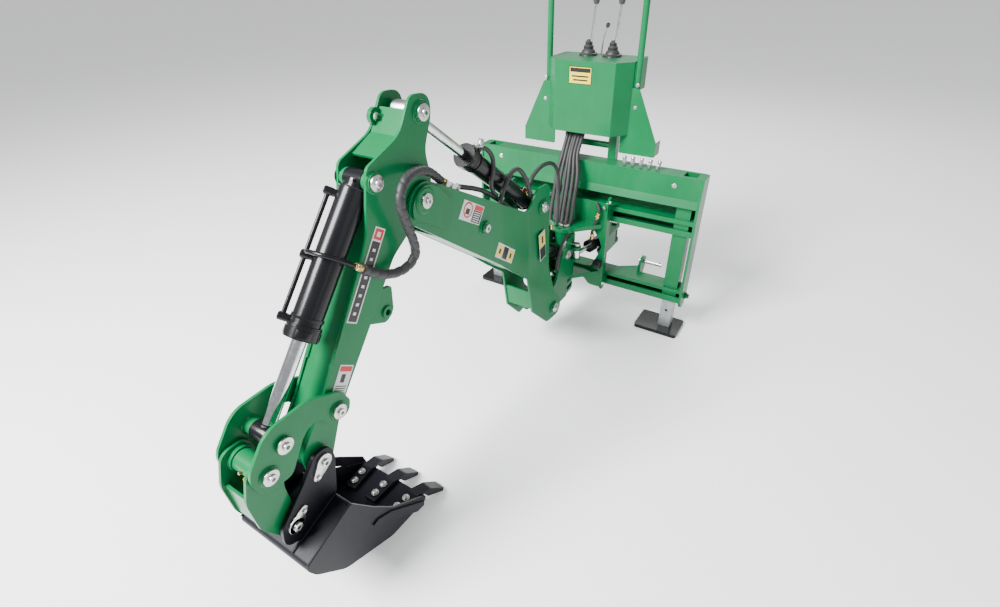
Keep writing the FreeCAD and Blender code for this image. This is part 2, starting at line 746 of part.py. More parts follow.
def build_manifold():
    """Two ported cubes on a bar, bolted on the boom's top plate near the elbow."""
    dy = boom_back[0] - boom_front[0]
    dz = boom_back[1] - boom_front[1]
    length = math.hypot(dy, dz)
    u = (dy / length, dz / length)

    def along(distance, rise):
        return (boom_front[0] + u[0] * distance - u[1] * rise, boom_front[1] + u[1] * distance + u[0] * rise)

    parts = []
    second = block_start + block_pitch
    for start, end, rise, inset in ((block_start, block_start + block_side, block_side, 0),
                                    (second, second + block_side, block_side, 0),
                                    (block_start + 4, second + 8, block_side - 8, 4)):
        rim = [along(start, block_seat), along(end, block_seat), along(end, rise), along(start, rise)]
        parts.append(slab(rim, block_x + inset, block_x + block_side - inset))
    return fuse(*parts)


# Dipper: shaped side plates, webs between them and a boxed lower arm

dipper_side = [(-1254, 1392, 36), (-1312, 1300, 90), (-1446, 1250, 26), (-1470, 1150, 120),
               (-1484, 1075, 120),
               (-1545, 978, 90), (-1752, 676, 200), (-1850, 560, 36), (-1848, 476, 40), (-1764, 476, 36),
               (-1694, 618, 30), (-1530, 813, 200), (-1400, 974, 120), (-1325, 1020, 60), (-1204, 1050, 50),
               (-1202, 1160, 60), (-1216, 1236, 80), (-1176, 1322, 60), (-1172, 1386, 38)]


def build_dipper():
    outer = dipper_in + dipper_plate
    right = slab(dipper_side, dipper_in, outer)
    parts = [right, mirror_x(right)]
    half = dipper_in + 2
    parts.append(strip((-1262, 1352), (-1312, 1290), web, half, side=-1))
    parts.append(strip((-1310, 1292), (-1392, 1254), web, half, side=-1))
    parts.append(strip((-1424, 1130), (-1518, 1000), web, half, side=-1))
    parts.append(strip((-1514, 1004), (-1758, 660), web, half))
    parts.append(strip((-1755, 664), (-1846, 545), web, half))
    parts.append(strip((-1340, 1024), (-1398, 986), web, half, side=-1))
    parts.append(strip((-1396, 988), (-1530, 825), web, half, side=-1))
    parts.append(strip((-1528, 828), (-1700, 622), web, half, side=-1))
    parts.append(rod(bucket_pivot, 36, -rocker_in - 2, rocker_in + 2))
    parts.append(rod(rocker_pivot, 34, -rocker_in + 1, rocker_in - 1))
    parts.append(rod(elbow, 40, -boom_in + 1, boom_in - 1))
    near, far = stub(dipper_top, pin_d / 2, blind_in, outer + boss_t)
    parts.extend([near, far])
    sleeve = rod(dipper_top, 21, blind_in, dipper_in + 1)
    ring = rod(dipper_top, boss_r, outer - weld_lap, outer + boss_t)
    seat = rod(bucket_base, boss_r - 2, blind_in + 2, outer + boss_t)
    for piece in (sleeve, ring, seat):
        parts.extend([piece, mirror_x(piece)])
    lug = slab([(-1490, 886), (-1404, 872, 10), (-1410, 790, 22), (-1444, 760, 26), (-1540, 806)], 20, 32)
    parts.extend([lug, mirror_x(lug)])
    boss = rod((-1440, 797), 20, -38, 38)
    parts.append(boss)
    eye_centre = (-1292, 1335)
    eye = rod(eye_centre, 24, -dipper_in - 6, -dipper_in + 8)
    parts.append(eye)
    dipper = fuse(*parts)
    dipper = dipper.cut(rod((-1440, 797), 10, -60, 60))
    dipper = dipper.cut(rod(eye_centre, 12, -80, -20))
    dipper = dipper.cut(rod(elbow, pin_d / 2 + pin_fit, -100, 100))
    dipper = dipper.cut(rod(bucket_pivot, pin_d / 2 + pin_fit, -100, 100))
    dipper = dipper.cut(rod(rocker_pivot, pin_d / 2 + pin_fit, -100, 100))
    dipper = dipper.cut(rod(bucket_base, pin_d / 2, -100, 100))
    return dipper


# Bucket linkage

rocker_side = [(-1668, 640, 28), (-1690, 688, 30), (-1792, 738, 110), (-1925, 736, 80), (-2006, 640, 60),
               (-1984, 560, 38), (-1896, 552, 30), (-1830, 650, 60), (-1780, 662, 30), (-1748, 606, 24),
               (-1682, 598, 30)]
link_side = [(-1918, 652, 36), (-1996, 654, 40), (-2026, 560, 90), (-2018, 446, 90), (-1972, 362, 30),
             (-1908, 362, 28), (-1918, 440, 60), (-1922, 520, 80), (-1908, 600, 40)]


def build_rocker_plate(side):
    outer = rocker_in + rocker_plate
    plate = slab(rocker_side, rocker_in, outer)
    near = stub(rod_eye, pin_d / 2, blind_in + 2, outer + ring_t)[0]
    boss = rod(rod_eye, small_boss_r, blind_in + 2, outer + ring_t)
    plate = fuse(plate, near, boss)
    for p in (link_top, rocker_pivot):
        plate = fuse(plate, rod(p, ring_r, outer, outer + ring_t))
        plate = plate.cut(rod(p, pin_d / 2, 0, clear_of_all))
    return plate if side > 0 else mirror_x(plate)


def build_link():
    outer = link_in + link_plate
    right = slab(link_side, link_in, outer)
    parts = [right, mirror_x(right)]
    parts.append(rod(link_top, 32, -link_in - 2, link_in + 2))
    for side in (-1, 1):
        x0 = side * (link_in - 14)
        x1 = side * (rocker_in - 1)
        parts.append(rod(link_top, 36, min(x0, x1), max(x0, x1)))
    parts.append(rod(link_foot, link_foot_r, -ear_in + side_gap, ear_in - side_gap))
    parts.append(strip((-2008, 560), (-2004, 450), 8, link_in + 2, side=-1))
    link = fuse(*parts)
    return link.cut(rod(link_top, pin_d / 2 + pin_fit, -100, 100))


bucket_side = [(-1804, 374, 14), (-1731, 270, 120), (-1660, 184, 150), (-1514, 76, 6), (-1520, 56, 6),
               (-1690, 66, 60), (-1880, 148, 90), (-1968, 246, 90), (-1992, 302, 20)]
bucket_core = [(-1799, 366), (-1740, 470), (-1500, 300), (-1480, 71), (-1688, 80, 50), (-1872, 160, 80),
               (-1958, 252, 80), (-1980, 297, 12)]
ear_side = [(-1826, 560, 30), (-1772, 556, 34), (-1768, 500, 30), (-1794, 374, 16), (-1900, 326, 30),
            (-1925, 318, 20), (-1988, 344, 34), (-1978, 410, 30), (-1880, 500, 60)]


def build_bucket():
    solid = slab(bucket_side, -bucket_half, bucket_half)
    core = slab(bucket_core, -bucket_half + 8, bucket_half - 8)
    shell = solid.cut(core)
    parts = [shell]
    ear = slab(ear_side, ear_in, ear_in + ear_plate)
    parts.extend([ear, mirror_x(ear)])
    face = ear_in + ear_plate
    near, far = stub(link_foot, pin_d / 2, ear_in, face)
    parts.extend([near, far])
    bucket = fuse(*parts)
    return bucket.cut(rod(bucket_pivot, pin_d / 2, -120, 120))


tooth_side = [(-1640, 78.2), (-1640, 97, 4), (-1540, 94, 10), (-1474, 70, 40), (-1413, 14, 2), (-1418, 0),
              (-1490, 42, 30), (-1506, 72.4, 8)]


def build_tooth(k):
    tooth = slab(tooth_side, -tooth_half, tooth_half)
    for y in tooth_bolts:
        tooth = fuse(tooth, post(0, y, 9, 90, 108))
    tooth.rotate(V(0, -1600, 90), V(0, 0, 1), -tooth_fan * k)
    tooth.translate(V(tooth_pitch * k, 0, 0))
    return tooth


# Drop legs

def build_leg(side):
    x = side * leg_x
    half = leg_side / 2
    tube = box(x - half, x + half, leg_y - half, leg_y + half, pad_thick, leg_top)
    core = box(x - half + leg_wall, x + half - leg_wall, leg_y - half + leg_wall, leg_y + half - leg_wall,
               pad_thick + 8, leg_top + 1)
    tube = tube.cut(core)
    for k in range(leg_hole_count):
        z = leg_hole_first + k * leg_hole_step
        start = V(x, leg_y - leg_side, z)
        tube = tube.cut(Part.makeCylinder(leg_hole_d / 2, 2 * leg_side, start, V(0, 1, 0)))
    return tube


def build_pad(side):
    x = side * (leg_x - pad_shift)
    w = pad_wide / 2
    d = pad_long / 2
    return flat([(x - w, leg_y - d - 8, 14), (x + w, leg_y - d - 8, 14), (x + w, leg_y + d - 8, 14),
                 (x - w, leg_y + d - 8, 14)], 0, pad_thick)


# Cylinders of the arm: base, rod eye, barrel radius, rod radius, barrel length, piston's place, eye, eye half
rams = {
    "boom": (boom_base, boom_eye, 37.0, 17.5, 600.0, 200.0, 28.0, 30.0),
    "dipper": (dipper_base, dipper_top, 37.0, 17.5, 534.0, 279.0, 28.0, 30.0),
    "bucket": (bucket_base, rod_eye, 41.0, 20.0, 450.0, 252.0, 28.0, 32.0),
}


def main():
    save("main_frame", build_frame())
    for name, side in (("left", -1), ("right", 1)):
        save("hitch_pin_" + name, build_hitch_pin(side))
        save("lever_" + name, build_lever(side))
        save("knob_" + name, build_knob(side))
        save("boot_" + name, build_boot(side))
        save("leg_" + name, build_leg(side))
        save("pad_" + name, build_pad(side))
        save("rocker_" + name, build_rocker_plate(side))
        barrel, stem = build_swing_ram(side)
        save("swing_barrel_" + name, barrel)
        save("swing_rod_" + name, stem)
    save("tower_stand", build_stand())
    save("control_tower", build_tower())
    save("guard_hoop", build_hoop())
    save("control_valve", build_valve())
    save("carriage", build_carriage())
    save("swing_pin", build_swing_pin())
    save("swing_post", build_swing_post())
    save("boom", build_boom())
    save("boom_manifold", build_manifold())
    save("dipper", build_dipper())
    save("link", build_link())
    save("bucket", build_bucket())
    for k, name in ((-1, "left"), (0, "middle"), (1, "right")):
        save("tooth_" + name, build_tooth(k))
    for name, (base, tip, barrel_r, rod_r, barrel_length, piston, eye_r, eye_half) in rams.items():
        barrel, stem = ram(span(base, tip), barrel_r, rod_r, barrel_length, piston, eye_r, eye_half,
                           eye_half, pin_d / 2 + pin_fit)
        save(name + "_barrel", aim(barrel, base, tip))
        save(name + "_rod", aim(stem, base, tip))
    save("foot_pin", through_pin(foot, flare_at(foot[0]) + boom_plate + boss_t))
    save("dipper_base_pin", through_pin(dipper_base, flare_at(dipper_base[0]) + boom_plate + boss_t))
    save("boom_base_pin", through_pin(boom_base, post_plate_in + post_plate_thick + 2))
    save("elbow_pin", through_pin(elbow, boom_in + boom_plate + boss_t + 6))
    save("bucket_base_pin", through_pin(bucket_base, dipper_in + dipper_plate + boss_t))
    save("rocker_pin", through_pin(rocker_pivot, rocker_in + rocker_plate + ring_t))
    save("link_pin", through_pin(link_top, rocker_in + rocker_plate + ring_t))
    save("bucket_pin", through_pin(bucket_pivot, ear_in + ear_plate))


main()
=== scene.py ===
# Looks of the tractor backhoe: paint, pins, welds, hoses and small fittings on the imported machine.
# Metres, in the machine's own frame: X to its right, Y towards the tractor, Z up.
import json
import math

import bmesh
import bpy
from mathutils import Matrix, Vector


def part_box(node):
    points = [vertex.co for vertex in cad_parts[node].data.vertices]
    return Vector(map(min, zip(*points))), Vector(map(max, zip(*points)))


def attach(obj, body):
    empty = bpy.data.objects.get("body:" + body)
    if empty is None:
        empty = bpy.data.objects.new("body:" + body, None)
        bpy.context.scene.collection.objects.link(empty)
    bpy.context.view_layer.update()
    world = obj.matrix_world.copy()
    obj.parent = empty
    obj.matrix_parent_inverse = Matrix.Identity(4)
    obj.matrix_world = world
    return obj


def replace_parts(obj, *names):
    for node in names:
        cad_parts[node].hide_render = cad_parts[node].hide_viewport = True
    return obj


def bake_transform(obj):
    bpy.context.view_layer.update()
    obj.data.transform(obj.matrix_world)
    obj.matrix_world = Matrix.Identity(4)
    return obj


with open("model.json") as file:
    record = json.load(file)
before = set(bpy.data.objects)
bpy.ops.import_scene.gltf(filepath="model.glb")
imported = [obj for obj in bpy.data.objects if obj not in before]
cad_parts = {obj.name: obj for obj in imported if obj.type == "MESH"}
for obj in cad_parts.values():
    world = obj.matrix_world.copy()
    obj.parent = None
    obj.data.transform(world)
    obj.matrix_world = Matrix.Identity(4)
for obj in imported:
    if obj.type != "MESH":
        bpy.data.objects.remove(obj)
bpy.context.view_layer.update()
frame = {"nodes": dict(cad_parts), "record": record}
nodes = frame["nodes"]
MM = 0.001

# Heights are measured from the ground and depths from the rear ridge of the top beam, as on a drawing
GROUND = -760.0
RIDGE = -150.0


def at(x, y, z):
    """A place on the machine, in millimetres from its centre plane, the ridge and the ground."""
    return Vector((x, y + RIDGE, z + GROUND)) * MM


# ---------------------------------------------------------------- finishes


class Term:
    """A shader value that takes part in arithmetic; every operation adds one Math node."""

    def __init__(self, finish, socket):
        self.finish = finish
        self.socket = socket

    def math(self, operation, *terms):
        return self.finish.node("ShaderNodeMath", {"operation": operation}, dict(enumerate(terms)))

    def __add__(self, other):
        return self.math("ADD", self, other)

    __radd__ = __add__

    def __mul__(self, other):
        return self.math("MULTIPLY", self, other)

    __rmul__ = __mul__

    def __sub__(self, other):
        return self.math("SUBTRACT", self, other)

    def __rsub__(self, other):
        return self.math("SUBTRACT", other, self)

    def clamp(self):
        return self.finish.node("ShaderNodeMath", {"operation": "ADD", "use_clamp": True}, {0: self, 1: 0.0})


class Finish:
    """One procedural material; its pattern reads the object's own coordinates."""

    def __init__(self, name):
        self.material = bpy.data.materials.new(name)
        self.material.use_nodes = True
        self.tree = self.material.node_tree
        self.tree.nodes.clear()
        self.shader = self.tree.nodes.new("ShaderNodeBsdfPrincipled")
        self.output = self.tree.nodes.new("ShaderNodeOutputMaterial")
        self.tree.links.new(self.shader.outputs[0], self.output.inputs[0])
        self.place = self.node("ShaderNodeTexCoord", {}, {}, "Object")

    def node(self, kind, settings, values, out=0):
        """A node with its settings made first, then the values or links of its sockets."""
        made = self.tree.nodes.new(kind)
        for name, value in settings.items():
            if name == "stops":
                ramp = made.color_ramp
                while len(ramp.elements) < len(value):
                    ramp.elements.new(1.0)
                for element, (position, colour) in zip(ramp.elements, value):
                    element.position = position
                    element.color = (*colour, 1.0) if hasattr(colour, "__len__") else (colour,) * 3 + (1.0,)
            else:
                setattr(made, name, value)
        for key, value in values.items():
            self.put(made.inputs[key], value)
        return Term(self, made.outputs[out])

    def put(self, socket, value):
        if isinstance(value, Term):
            self.tree.links.new(value.socket, socket)
        elif hasattr(value, "__len__") and len(value) == 3 and len(socket.default_value) == 4:
            socket.default_value = (*value, 1.0)
        else:
            socket.default_value = value

    def noise(self, scale, detail=2.0, rough=0.5, place=None):
        return self.node("ShaderNodeTexNoise", {}, {"Vector": place or self.place, "Scale": scale,
                                                    "Detail": detail, "Roughness": rough})

    def ramp(self, value, *stops):
        return self.node("ShaderNodeValToRGB", {"stops": stops}, {0: value})

    def mix(self, factor, first, second):
        made = self.node("ShaderNodeMix", {"data_type": "RGBA"}, {0: factor}, 2)
        inputs = made.socket.node.inputs
        self.put(inputs[6], first)
        self.put(inputs[7], second)
        return made

    def spread(self, x, y, z):
        """Object coordinates stretched along the axes."""
        return self.node("ShaderNodeMapping", {}, {"Vector": self.place, "Scale": (x, y, z)})

    def rounded(self, radius):
        return self.node("ShaderNodeBevel", {"samples": 4}, {"Radius": radius})

    def bump(self, height, strength, distance, normal=None):
        values = {"Height": height, "Strength": strength, "Distance": distance}
        if normal is not None:
            values["Normal"] = normal
        return self.node("ShaderNodeBump", {}, values)

    def set(self, **values):
        for key, value in values.items():
            self.put(self.shader.inputs[key.replace("_", " ").title().replace("Ior", "IOR")], value)
        return self


def enamel(name, colour, deep, rough, coat, radius, grime):
    """Sprayed paint with soft edges, slight orange peel and patches of dust."""
    f = Finish(name)
    cloud = f.noise(4.0, 4.0, 0.6)
    specks = f.noise(420.0, 2.0, 0.6)
    streak = f.noise(1.0, 5.0, 0.65, f.spread(38.0, 38.0, 7.0))
    dust = (f.noise(9.0, 6.0, 0.7) * 1.6 - 0.62).clamp() * grime
    tone = f.mix(f.ramp(cloud, (0.3, 0.0), (0.72, 1.0)), deep, colour)
    light = tuple(c * 1.5 + 0.002 for c in colour)
    tone = f.mix(((streak - 0.5) * 0.35 + (specks - 0.5) * 0.12).clamp(), tone, light)
    tone = f.mix(dust, tone, (0.16, 0.15, 0.12))
    peel = f.noise(260.0, 2.0, 0.4)
    wave = f.noise(26.0, 2.0, 0.5)
    normal = f.bump(peel * 0.5 + wave, 0.10, 0.0012, f.rounded(radius))
    f.set(base_color=tone, roughness=rough + (cloud - 0.5) * 0.10 + dust * 0.5, normal=normal)
    f.shader.inputs["Coat Weight"].default_value = coat
    f.shader.inputs["Coat Roughness"].default_value = 0.06
    f.shader.inputs["Specular IOR Level"].default_value = 0.18
    return f.material


green = enamel("emerald_enamel", (0.0, 0.150, 0.047), (0.0, 0.118, 0.035), 0.30, 0.07, 0.0018, 0.02)
black = enamel("black_enamel", (0.006, 0.006, 0.008), (0.004, 0.004, 0.005), 0.25, 0.12, 0.0015, 0.02)
shovel_paint = enamel("blue_black_enamel", (0.004, 0.005, 0.009), (0.003, 0.003, 0.006), 0.42, 0.0, 0.0016,
                      0.03)


def bright(name, colour, rough, grain, scratch):
    """Bare or plated metal with fine turning marks and small stains."""
    f = Finish(name)
    stain = f.noise(60.0, 5.0, 0.6)
    fine = f.noise(900.0, 2.0, 0.6)
    tone = f.mix(f.ramp(stain, (0.35, 0.0), (0.7, 1.0)), tuple(c * 0.72 for c in colour), colour)
    normal = f.bump(fine + stain * 0.5, scratch, 0.0004, f.rounded(0.0008))
    f.set(base_color=tone, roughness=rough + (stain - 0.5) * grain, normal=normal)
    f.shader.inputs["Metallic"].default_value = 1.0
    return f.material


chrome = bright("hard_chrome", (0.80, 0.81, 0.83), 0.09, 0.06, 0.03)
zinc = bright("zinc_plate", (0.66, 0.66, 0.64), 0.30, 0.22, 0.10)
steel = bright("plain_steel", (0.55, 0.55, 0.55), 0.34, 0.20, 0.12)
brass = bright("brass", (0.72, 0.50, 0.20), 0.26, 0.18, 0.08)


def make_galvanized():
    f = Finish("galvanized")
    flake = f.node("ShaderNodeTexVoronoi", {"feature": "F1"}, {"Vector": f.place, "Scale": 110.0}, "Color")
    grey = f.node("ShaderNodeRGBToBW", {}, {0: flake})
    cloud = f.noise(16.0, 5.0, 0.65)
    tone = f.mix((grey * 0.6 + cloud * 0.5 - 0.1).clamp(), (0.26, 0.28, 0.29), (0.56, 0.58, 0.59))
    f.set(base_color=tone, roughness=0.42 + (grey - 0.5) * 0.16, metallic=0.85 - cloud * 0.3,
          normal=f.bump(cloud, 0.15, 0.0008, f.rounded(0.002)))
    return f.material


def make_rubber(name, colour, rough, strength):
    f = Finish(name)
    grain = f.noise(700.0, 3.0, 0.6)
    cloud = f.noise(24.0, 4.0, 0.6)
    tone = f.mix(cloud, tuple(c * 0.7 for c in colour), tuple(c * 1.5 + 0.004 for c in colour))
    f.set(base_color=tone, roughness=rough + (cloud - 0.5) * 0.2, normal=f.bump(grain, strength, 0.0005))
    return f.material


galvanized = make_galvanized()
rubber = make_rubber("black_rubber", (0.018, 0.018, 0.019), 0.55, 0.25)
plastic = make_rubber("black_plastic", (0.014, 0.014, 0.015), 0.30, 0.08)
casting = enamel("black_casting", (0.014, 0.014, 0.016), (0.009, 0.009, 0.010), 0.46, 0.15, 0.0015, 0.08)
block_grey = bright("machined_block", (0.74, 0.75, 0.76), 0.38, 0.2, 0.08)
label_white = enamel("label_white", (0.62, 0.62, 0.61), (0.56, 0.56, 0.55), 0.45, 0.3, 0.0002, 0.03)
label_red = enamel("label_red", (0.55, 0.02, 0.02), (0.45, 0.015, 0.015), 0.45, 0.3, 0.0002, 0.03)
label_yellow = enamel("label_yellow", (0.80, 0.62, 0.03), (0.72, 0.54, 0.02), 0.45, 0.3, 0.0002, 0.03)
label_black = enamel("label_black", (0.012, 0.012, 0.012), (0.008, 0.008, 0.008), 0.45, 0.3, 0.0002, 0.03)
orange = enamel("orange_cap", (0.75, 0.16, 0.02), (0.6, 0.12, 0.015), 0.45, 0.1, 0.0004, 0.03)

finish_of_slot = {
    "green_paint": green, "black_paint": black, "bucket_paint": shovel_paint, "chrome": chrome, "zinc": zinc,
    "galvanized": galvanized, "rubber": rubber, "knob": plastic, "valve": casting, "block": block_grey,
}
for row in frame["record"]["subparts"]:
    node = nodes[row["node"]]
    node.data.materials.clear()
    node.data.materials.append(finish_of_slot[row["material_slot"]])


# ---------------------------------------------------------------- camera, light and floor


def look(azimuth, elevation, roll):
    """Camera axes for a view turned about Z, tipped down and rolled, in degrees."""
    a, e, r = (math.radians(v) for v in (azimuth, elevation, roll))
    ahead = Vector((-math.sin(a) * math.cos(e), math.cos(a) * math.cos(e), -math.sin(e)))
    right = Vector((math.cos(a), math.sin(a), 0.0))
    up = right.cross(ahead)
    x = right * math.cos(r) + up * math.sin(r)
    y = -right * math.sin(r) + up * math.cos(r)
    return Matrix((x, y, -ahead)).transposed()


camera = bpy.data.objects.new("camera", bpy.data.cameras.new("camera"))
bpy.context.scene.collection.objects.link(camera)
camera.data.sensor_width = 36.0
camera.data.lens = 36.0 * 519.7 / 1000.0
camera.data.clip_start = 0.05
camera.matrix_world = Matrix.Translation(at(1048.8, -2344.4, 1685.7)) @ look(33.6, 33.5, -1.7).to_4x4()
bpy.context.scene.camera = camera


def area_light(name, place, target, size, power, colour=(1.0, 1.0, 1.0)):
    lamp = bpy.data.lights.new(name, "AREA")
    lamp.shape = "SQUARE"
    lamp.size = size
    lamp.energy = power
    lamp.color = colour
    obj = bpy.data.objects.new(name, lamp)
    bpy.context.scene.collection.objects.link(obj)
    obj.location = place
    obj.rotation_euler = (Vector(target) - Vector(place)).to_track_quat("-Z", "Y").to_euler()


area_light("key_light", (-1.6, -4.6, 3.6), (0.0, -0.8, -0.3), 2.2, 1150.0)
area_light("fill_light", (3.8, -1.6, 1.6), (0.0, -0.8, -0.3), 3.0, 30.0, (0.93, 0.96, 1.0))
area_light("back_light", (-0.5, 3.4, 3.6), (0.0, -0.4, 0.0), 3.0, 150.0)

world = bpy.data.worlds.new("studio")
bpy.context.scene.world = world
world.use_nodes = True
world.node_tree.nodes["Background"].inputs[0].default_value = (0.93, 0.95, 0.97, 1.0)
world.node_tree.nodes["Background"].inputs[1].default_value = 0.55


def make_floor():
    mesh = bpy.data.meshes.new("floor")
    bm = bmesh.new()
    bmesh.ops.create_grid(bm, x_segments=1, y_segments=1, size=90.0, matrix=Matrix.Translation(at(0, 0, 0)))
    bm.to_mesh(mesh)
    bm.free()
    floor = bpy.data.objects.new("floor", mesh)
    bpy.context.scene.collection.objects.link(floor)
    f = Finish("pale_floor")
    f.set(base_color=(0.9, 0.9, 0.9), roughness=0.9, emission_color=(1.0, 1.0, 1.0), emission_strength=0.3)
    mesh.materials.append(f.material)


make_floor()

# ---------------------------------------------------------------- shapes, in millimetres about their own Z


def shape(build, *sizes):
    """A loose mesh that is built once and set in place many times."""
    bm = bmesh.new()
    build(bm, *sizes)
    bmesh.ops.remove_doubles(bm, verts=bm.verts, dist=0.001)
    bmesh.ops.recalc_face_normals(bm, faces=bm.faces)
    mesh = bpy.data.meshes.new(build.__name__)
    bm.to_mesh(mesh)
    bm.free()
    return mesh


def turned(bm, rows, steps=32):
    """Spins rows of (radius, height) about Z."""
    verts = [bm.verts.new((radius, 0.0, height)) for radius, height in rows]
    edges = [bm.edges.new(pair) for pair in zip(verts, verts[1:])]
    bmesh.ops.spin(bm, geom=verts + edges, cent=(0, 0, 0), axis=(0, 0, 1), angle=math.tau, steps=steps,
                   use_merge=True)


def scale_across(vert, factor):
    vert.co.x *= factor
    vert.co.y *= factor


def to_hexagon(bm, inner, outer, low=-1e9, high=1e9):
    """Draws the turned rings between two radii in to six flats."""
    for vert in bm.verts:
        reach = math.hypot(vert.co.x, vert.co.y)
        if inner < reach < outer and low < vert.co.z < high:
            turn = math.atan2(vert.co.y, vert.co.x) % (math.pi / 3) - math.pi / 6
            scale_across(vert, math.cos(math.pi / 6) / math.cos(turn))


def washer(bm, outer, inner, thick):
    edge = min(1.6, thick * 0.35)
    turned(bm, [(inner, 0), (inner, thick), (outer - edge, thick), (outer - edge * 0.3, thick - edge * 0.3),
                (outer, thick - edge), (outer, 0), (inner, 0)])


def socket_head(bm, radius, height, socket):
    """Round bolt head with a six-sided socket."""
    floor = height - height * 0.55
    turned(bm, [(0, floor), (socket, floor), (socket, height - 0.6), (socket + 0.7, height),
                (radius - 1.4, height), (radius - 0.4, height - 0.4), (radius, height - 1.4), (radius, 0),
                (0, 0)], 24)
    to_hexagon(bm, 0.5, socket + 0.8)


def hex_head(bm, radius, height):
    """Six-sided bolt head on its washer."""
    washer_edge = radius * 1.3
    shoulder = radius * 1.01
    turned(bm, [(0, 0), (washer_edge, 0), (washer_edge, 1.8), (shoulder, 1.8), (shoulder, height - 1),
                (radius * 0.86, height), (0, height)], 24)
    to_hexagon(bm, radius * 0.8, radius * 1.1, 1.7)


def bar(bm, radius, low, high, edge=1.2):
    turned(bm, [(0, low), (radius - edge, low), (radius, low + edge), (radius, high - edge),
                (radius - edge, high), (0, high)])


def bead_ring(bm, radius, width):
    """Weld round a boss, with the ripples of the pool."""
    ripples = 32
    turned(bm, [(radius - 1, 0), (radius + width, 0), (radius + width * 0.8, width * 0.4),
                (radius + width * 0.35, width * 0.75), (radius - 1, width * 0.9), (radius - 1, 0)],
           2 * ripples)
    for vert in bm.verts:
        if vert.co.z > 0.1:
            scale_across(vert, 1 + 0.012 * math.sin(ripples * math.atan2(vert.co.y, vert.co.x)))


def bead(bm, length, radius):
    """Straight weld with ripples."""
    ripple = 4.5
    count = max(3, round(length / ripple))
    rows = [(0, 0)]
    for k in range(count):
        rows.append((radius * 0.82, length * (k + 0.08) / count))
        rows.append((radius, length * (k + 0.55) / count))
    turned(bm, rows + [(0, length)], 8)


def raised(bm, corners, rise):
    """A face on the given corners, drawn out along a vector; gives the upper corners."""
    base = bm.faces.new([bm.verts.new(corner) for corner in corners])
    made = bmesh.ops.extrude_face_region(bm, geom=[base])
    top = [item for item in made["geom"] if isinstance(item, bmesh.types.BMVert)]
    bmesh.ops.translate(bm, verts=top, vec=rise)
    return top


def plate(bm, rim, thick, edge=0.0):
    """A flat plate with the given outline and softened upper rim."""
    high = set(raised(bm, [(x, y, 0.0) for x, y in rim], (0, 0, thick)))
    if edge:
        rims = [e for e in bm.edges if e.verts[0] in high and e.verts[1] in high]
        bmesh.ops.bevel(bm, geom=rims, offset=edge, offset_type="OFFSET", affect="EDGES", segments=2,
                        profile=0.5, material=-1)


def arc(cx, cy, radius, start, end, count):
    turns = [math.radians(start + (end - start) * k / count) for k in range(count + 1)]
    return [(cx + radius * math.cos(turn), cy + radius * math.sin(turn)) for turn in turns]


def teardrop(bm, big, small, reach, thick):
    """Keeper plate: a large round end and a small one, reach apart."""
    lean = math.degrees(math.acos((big - small) / reach))
    plate(bm, arc(0, 0, big, lean, 360 - lean, 30) + arc(reach, 0, small, -lean, lean, 16), thick, 1.2)


def port_boss(bm):
    turned(bm, [(0, 0), (11, 0), (11, 9), (10, 10.5), (0, 10.5)], 24)


def nut(bm):
    """Hose nut on its nipple, as turned and then given six flats."""
    turned(bm, [(0, 0), (7.5, 0), (7.5, 5), (10.5, 5), (11, 6), (11, 17), (10.5, 18), (8.5, 18), (8.5, 24),
                (9.6, 25), (9.6, 34), (8.6, 35.5), (0, 35.5)], 24)
    to_hexagon(bm, 10.2, 11.5, 4.5, 18.5)


def facing(place, axis, along=None):
    """Turns a shape's Z to an axis, and its X as near as can be to another."""
    z = Vector(axis).normalized()
    x = Vector(along) if along else z.orthogonal()
    x = (x - z * x.dot(z)).normalized()
    turn = Matrix((x, z.cross(x), z)).transposed().to_4x4()
    return Matrix.Translation(place) @ turn @ Matrix.Scale(MM, 4)


class Kit:
    """Shapes set in place, which become one piece with one finish."""

    def __init__(self):
        self.bm = bmesh.new()

    def add(self, mesh, place):
        """Adds a mesh and frees it; place is a matrix."""
        mesh.transform(place)
        self.bm.from_mesh(mesh)
        bpy.data.meshes.remove(mesh)

    def set(self, mesh, place, axis=(1, 0, 0), along=None):
        self.add(mesh.copy(), facing(place, axis, along))
        return self

    def piece(self, name, finish, body, slot, crease=38.0):
        mesh = bpy.data.meshes.new(name)
        bmesh.ops.recalc_face_normals(self.bm, faces=self.bm.faces)
        self.bm.to_mesh(mesh)
        self.bm.free()
        mesh.polygons.foreach_set("use_smooth", [True] * len(mesh.polygons))
        mesh.set_sharp_from_angle(angle=math.radians(crease))
        mesh.materials.append(finish)
        made = bpy.data.objects.new(name, mesh)
        bpy.context.scene.collection.objects.link(made)
        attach(made, body)
        return made


X = Vector((1, 0, 0))
UP = Vector((0, 0, 1))
OUT = (0, -1, 0)  # away from the tractor
fine_crease = 30  # degrees; turned parts keep their sharp steps

# Pins of the arm, as (depth, height) on the drawing
foot = (-420, 245)
boom_base = (-230, 440)
dipper_base = (-535, 815)
boom_eye = (-955, 888)
elbow = (-1262, 1103)
dipper_top = (-1218, 1341)
bucket_base = (-1428, 1207)
rocker_pivot = (-1716, 637)
rod_eye = (-1893, 668)
link_top = (-1954, 609)
bucket_pivot = (-1806, 518)
link_foot = (-1940, 390)

# Faces of the arm's side plates, from the centre plane
boom_face = 69
foot_face = 84.6
dipper_face = 56
rocker_face = 72
ear_face = 78
link_in = 48

# ---------------------------------------------------------------- hoses

ring_points = 12  # vertices round a hose


